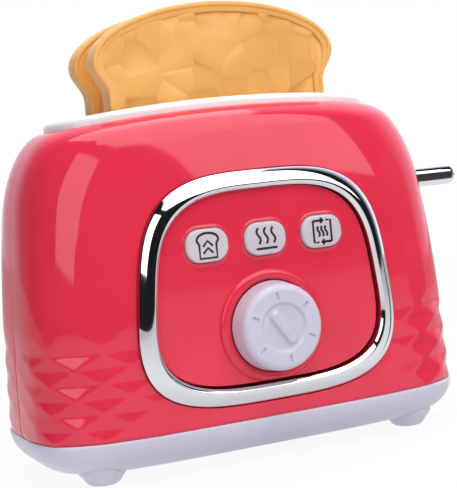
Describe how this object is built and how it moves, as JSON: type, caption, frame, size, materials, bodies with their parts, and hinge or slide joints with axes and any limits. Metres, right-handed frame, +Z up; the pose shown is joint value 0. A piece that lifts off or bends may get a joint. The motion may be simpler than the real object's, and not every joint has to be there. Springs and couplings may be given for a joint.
{
  "type": "toy pop-up toaster",
  "caption": "Toy pop-up toaster with slices of toast, a spring-loaded lever, a wind-up timer knob and push buttons on a framed panel.",
  "frame": {"origin": "on the floor under the middle of the whole toy's box", "axes": "+X towards the lever, along the toy's width; +Y from the control panel to the back; +Z up"},
  "size_m": [0.2268, 0.1076, 0.1987],
  "materials": {
    "red_plastic": "glossy moulded plastic, coral red",
    "white_plastic": "satin moulded plastic, cool white",
    "chrome_trim": "bright chrome plating",
    "toast_plastic": "satin moulded plastic, golden brown",
    "button_plastic": "satin moulded plastic, pale grey",
    "inner_plastic": "natural moulded plastic",
    "steel": "plain steel"
  },
  "bodies": {
    "housing": {"front_shell": "red_plastic", "rear_shell": "red_plastic", "base_tray": "white_plastic", "top_plate": "white_plastic", "front_bread_chute": "white_plastic", "rear_bread_chute": "white_plastic", "control_panel": "red_plastic", "bezel_ring": "chrome_trim", "panel_screws": "steel", "shell_screws": "steel", "base_screws": "steel", "guide_rods": "steel", "lift_springs": "steel", "timer_front_plate": "steel", "timer_rear_plate": "steel", "timer_pillars": "steel", "timer_screws": "steel", "timer_axles": "steel", "mainspring": "steel", "latch_pin": "steel", "button_retainer": "inner_plastic", "retainer_screws": "steel", "button_spring_left": "steel", "button_spring_middle": "steel", "button_spring_right": "steel"},
    "lift": {"bread_carriage": "inner_plastic", "lever_handle": "chrome_trim"},
    "front_slice": {"toast_front": "toast_plastic"},
    "rear_slice": {"toast_rear": "toast_plastic"},
    "timer_knob": {"knob": "white_plastic", "knob_arbor": "steel", "winding_gear": "inner_plastic", "release_cam": "inner_plastic"},
    "second_gear": {"second_wheel": "inner_plastic"},
    "governor": {"governor_fly": "inner_plastic"},
    "latch_arm": {"latch": "inner_plastic"},
    "left_button": {"button_left": "button_plastic"},
    "middle_button": {"button_middle": "button_plastic"},
    "right_button": {"button_right": "button_plastic"}
  },
  "joints": [
    {"name": "lever_slide", "type": "slide", "parent": "housing", "child": "lift", "axis": [0, 0, 1], "range_m": [-0.042, 0], "stiffness_N_per_m": 120, "springref_m": 0.03, "deforming": ["lift_springs"]},
    {"name": "front_slice_lift", "type": "slide", "parent": "lift", "child": "front_slice", "axis": [0, 0, 1], "range_m": [0, 0.12]},
    {"name": "rear_slice_lift", "type": "slide", "parent": "lift", "child": "rear_slice", "axis": [0, 0, 1], "range_m": [0, 0.12]},
    {"name": "knob_turn", "type": "hinge", "parent": "housing", "child": "timer_knob", "pos_m": [-0.0134, -0.0342, 0.0583], "axis": [0, 1, 0], "range_deg": [0, 300]},
    {"name": "second_gear_turn", "type": "hinge", "parent": "housing", "child": "second_gear", "pos_m": [0.0083, -0.0242, 0.0583], "axis": [0, 1, 0], "range_deg": [-900, 0]},
    {"name": "governor_turn", "type": "hinge", "parent": "housing", "child": "governor", "pos_m": [-0.0012, -0.0242, 0.04185], "axis": [0, 1, 0], "range_deg": [0, 2250]},
    {"name": "latch_swing", "type": "hinge", "parent": "housing", "child": "latch_arm", "pos_m": [-0.0314, -0.0242, 0.047], "axis": [0, -1, 0], "range_deg": [0, 5.5], "stiffness_Nm_per_rad": 0.02},
    {"name": "left_button_press", "type": "slide", "parent": "housing", "child": "left_button", "axis": [0, 1, 0], "range_m": [0, 0.0018], "stiffness_N_per_m": 300, "deforming": ["button_spring_left"]},
    {"name": "middle_button_press", "type": "slide", "parent": "housing", "child": "middle_button", "axis": [0, 1, 0], "range_m": [0, 0.0018], "stiffness_N_per_m": 300, "deforming": ["button_spring_middle"]},
    {"name": "right_button_press", "type": "slide", "parent": "housing", "child": "right_button", "axis": [0, 1, 0], "range_m": [0, 0.0018], "stiffness_N_per_m": 300, "deforming": ["button_spring_right"]}
  ],
  "couplings": [
    {"joint": "second_gear_turn", "follows": "knob_turn", "ratio": -3},
    {"joint": "governor_turn", "follows": "knob_turn", "ratio": 7.5}
  ]
}
